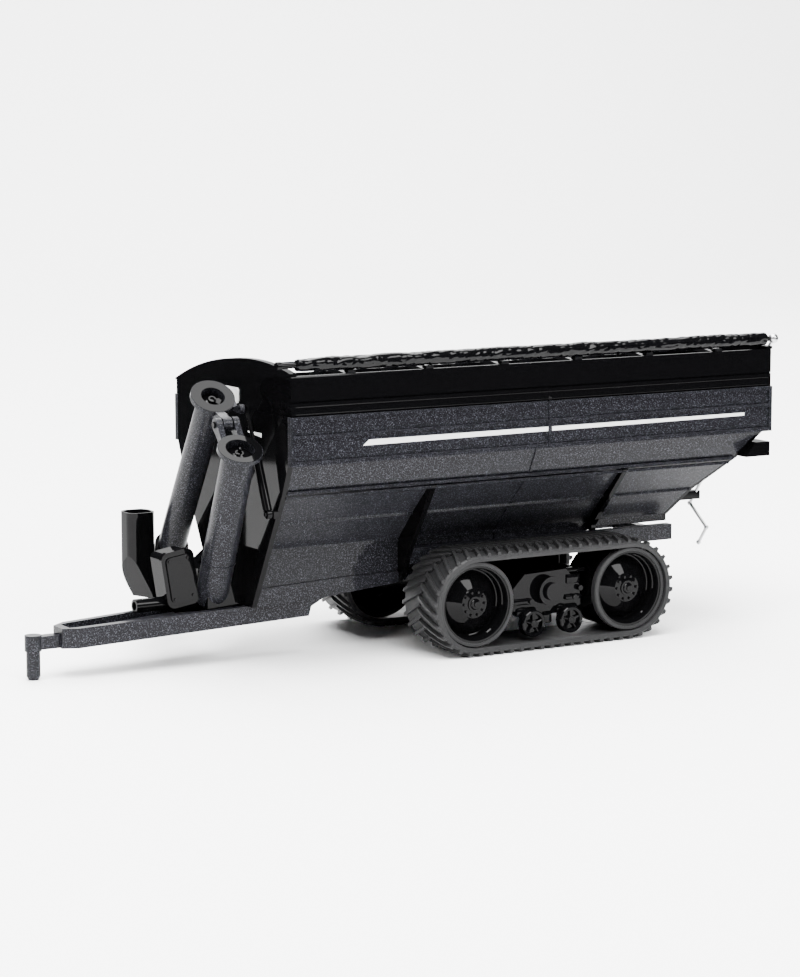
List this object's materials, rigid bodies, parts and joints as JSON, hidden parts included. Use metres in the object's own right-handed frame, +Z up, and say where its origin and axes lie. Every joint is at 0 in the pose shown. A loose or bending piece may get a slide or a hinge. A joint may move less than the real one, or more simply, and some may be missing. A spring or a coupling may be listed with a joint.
{
  "type": "grain cart model",
  "caption": "Tracked grain cart scale model with a deep sloped tank, rolled tarp, folding unload auger with spout, drawbar with hitch pin and pitching belt tracks.",
  "frame": {"origin": "on the ground below the middle of the whole cart, hitch pin to tarp crank ball", "axes": "+X towards the rear, hitch at -X; -Y is the left, unload side; +Z up"},
  "size_m": [0.1774, 0.0554, 0.068],
  "materials": {
    "flake_paint": "dark charcoal with light metal flakes under a gloss coat",
    "gloss_paint": "gloss black",
    "bare_metal": "bright plated",
    "belt_rubber": "satin",
    "tarp_vinyl": "wrinkled gloss vinyl",
    "satin_plastic": "satin black",
    "window_white": "opaque white",
    "lamp_red": "gloss"
  },
  "bodies": {
    "chassis": {"tank_left_side": "flake_paint", "tank_right_side": "flake_paint", "tank_front_wall": "gloss_paint", "tank_rear_wall": "gloss_paint", "tank_floor": "gloss_paint", "left_rim_band": "flake_paint", "right_rim_band": "flake_paint", "front_rim_band": "gloss_paint", "rear_rim_band": "flake_paint", "left_extension": "gloss_paint", "right_extension": "gloss_paint", "front_extension": "gloss_paint", "rear_extension": "gloss_paint", "front_end_cap": "gloss_paint", "rear_end_cap": "gloss_paint", "tarp_bows": "satin_plastic", "sight_window": "window_white", "gusset_plates": "gloss_paint", "chassis_rails": "flake_paint", "axle_beam": "gloss_paint", "axle_saddle": "gloss_paint", "drawbar": "flake_paint", "hitch_pin": "flake_paint", "auger_boot": "gloss_paint", "lower_auger_tube": "flake_paint", "fold_hinge_pin": "gloss_paint", "gearbox_case": "gloss_paint", "gearbox_cover": "gloss_paint", "cylinder_bracket": "gloss_paint", "light_bar": "gloss_paint", "tail_lamps": "lamp_red", "crank_holder": "gloss_paint", "assembly_screws": "bare_metal", "left_hub_cap": "gloss_paint", "right_hub_cap": "gloss_paint"},
    "upper_auger": {"upper_auger_tube": "flake_paint"},
    "spout": {"discharge_spout": "gloss_paint"},
    "upper_screw": {"upper_flighting": "gloss_paint"},
    "lower_screw": {"lower_flighting": "gloss_paint"},
    "floor_screw": {"floor_auger": "bare_metal"},
    "driveline": {"pto_shaft": "gloss_paint"},
    "cylinder": {"cylinder_barrel": "gloss_paint"},
    "rod": {"cylinder_rod": "gloss_paint"},
    "roll": {"tarp_roll": "tarp_vinyl"},
    "crank": {"tarp_crank": "bare_metal"},
    "left_track": {"left_track_frame": "gloss_paint", "left_belt": "belt_rubber"},
    "left_front_wheel": {"left_front_wheel": "gloss_paint"},
    "left_rear_wheel": {"left_rear_wheel": "gloss_paint"},
    "left_front_roller": {"left_front_roller": "satin_plastic"},
    "left_rear_roller": {"left_rear_roller": "satin_plastic"},
    "right_track": {"right_track_frame": "gloss_paint", "right_belt": "belt_rubber"},
    "right_front_wheel": {"right_front_wheel": "gloss_paint"},
    "right_rear_wheel": {"right_rear_wheel": "gloss_paint"},
    "right_front_roller": {"right_front_roller": "satin_plastic"},
    "right_rear_roller": {"right_rear_roller": "satin_plastic"}
  },
  "joints": [
    {"name": "auger_fold", "type": "hinge", "parent": "chassis", "child": "upper_auger", "pos_m": [-0.04817, -0.01446, 0.05359], "axis": [0.9953, -0.0905, 0.0346], "range_deg": [0, 171.5]},
    {"name": "spout_swivel", "type": "hinge", "parent": "upper_auger", "child": "spout", "pos_m": [-0.04354, 0.02359, 0.01987], "axis": [0.0836, 0.6218, -0.7787], "range_deg": [-20, 20]},
    {"name": "upper_screw_spin", "type": "hinge", "parent": "upper_auger", "child": "upper_screw", "pos_m": [-0.04772, -0.0075, 0.05881], "axis": [0.0836, 0.6218, -0.7787], "continuous": true},
    {"name": "floor_screw_spin", "type": "hinge", "parent": "chassis", "child": "floor_screw", "pos_m": [-0.0411, 0, 0.0183], "axis": [0.9945, 0, 0.1044], "continuous": true},
    {"name": "lower_screw_spin", "type": "hinge", "parent": "chassis", "child": "lower_screw", "pos_m": [-0.0487, -0.02195, 0.0492], "axis": [-0.0755, -0.5, 0.8627], "continuous": true},
    {"name": "driveline_spin", "type": "hinge", "parent": "chassis", "child": "driveline", "pos_m": [-0.0597, 0, 0.0136], "axis": [1, 0, 0], "continuous": true},
    {"name": "cylinder_tilt", "type": "hinge", "parent": "chassis", "child": "cylinder", "pos_m": [-0.0419, -0.0215, 0.0348], "axis": [0.9953, -0.0905, 0.0346], "range_deg": [-0.5, 2.58]},
    {"name": "rod_slide", "type": "slide", "parent": "cylinder", "child": "rod", "axis": [-0.0432, 0.3302, 0.9429], "range_m": [-0.00603, 0]},
    {"name": "roll_spin", "type": "hinge", "parent": "chassis", "child": "roll", "pos_m": [0, -0.02605, 0.0665], "axis": [1, 0, 0], "continuous": true},
    {"name": "crank_spin", "type": "hinge", "parent": "chassis", "child": "crank", "pos_m": [0.0875, -0.02605, 0.0665], "axis": [0, 0.597, -0.8023], "continuous": true},
    {"name": "left_track_pitch", "type": "hinge", "parent": "chassis", "child": "left_track", "pos_m": [0.0272, -0.02065, 0.0126], "axis": [0, 1, 0], "range_deg": [-8, 8]},
    {"name": "left_front_wheel_spin", "type": "hinge", "parent": "left_track", "child": "left_front_wheel", "pos_m": [0.0069, -0.02065, 0.0116], "axis": [0, 1, 0], "continuous": true},
    {"name": "left_rear_wheel_spin", "type": "hinge", "parent": "left_track", "child": "left_rear_wheel", "pos_m": [0.0475, -0.02065, 0.0116], "axis": [0, 1, 0], "continuous": true},
    {"name": "left_front_roller_spin", "type": "hinge", "parent": "left_track", "child": "left_front_roller", "pos_m": [0.0222, -0.02515, 0.0058], "axis": [0, 1, 0], "continuous": true},
    {"name": "left_rear_roller_spin", "type": "hinge", "parent": "left_track", "child": "left_rear_roller", "pos_m": [0.0322, -0.02515, 0.0058], "axis": [0, 1, 0], "continuous": true},
    {"name": "right_track_pitch", "type": "hinge", "parent": "chassis", "child": "right_track", "pos_m": [0.0272, 0.02065, 0.0126], "axis": [0, 1, 0], "range_deg": [-8, 8]},
    {"name": "right_front_wheel_spin", "type": "hinge", "parent": "right_track", "child": "right_front_wheel", "pos_m": [0.0069, 0.02065, 0.0116], "axis": [0, 1, 0], "continuous": true},
    {"name": "right_rear_wheel_spin", "type": "hinge", "parent": "right_track", "child": "right_rear_wheel", "pos_m": [0.0475, 0.02065, 0.0116], "axis": [0, 1, 0], "continuous": true},
    {"name": "right_front_roller_spin", "type": "hinge", "parent": "right_track", "child": "right_front_roller", "pos_m": [0.0222, 0.02515, 0.0058], "axis": [0, 1, 0], "continuous": true},
    {"name": "right_rear_roller_spin", "type": "hinge", "parent": "right_track", "child": "right_rear_roller", "pos_m": [0.0322, 0.02515, 0.0058], "axis": [0, 1, 0], "continuous": true}
  ],
  "couplings": [
    {"joint": "lower_screw_spin", "follows": "floor_screw_spin", "ratio": 1},
    {"joint": "driveline_spin", "follows": "floor_screw_spin", "ratio": 1},
    {"joint": "cylinder_tilt", "follows": "auger_fold", "ratio": 0.0121},
    {"joint": "rod_slide", "follows": "auger_fold", "m_per_rad": -0.0019823},
    {"joint": "roll_spin", "follows": "crank_spin", "ratio": 1},
    {"joint": "left_rear_wheel_spin", "follows": "left_front_wheel_spin", "ratio": 1},
    {"joint": "left_front_roller_spin", "follows": "left_front_wheel_spin", "ratio": 3.1667},
    {"joint": "left_rear_roller_spin", "follows": "left_front_wheel_spin", "ratio": 3.1667},
    {"joint": "right_rear_wheel_spin", "follows": "right_front_wheel_spin", "ratio": 1},
    {"joint": "right_front_roller_spin", "follows": "right_front_wheel_spin", "ratio": 3.1667},
    {"joint": "right_rear_roller_spin", "follows": "right_front_wheel_spin", "ratio": 3.1667}
  ]
}
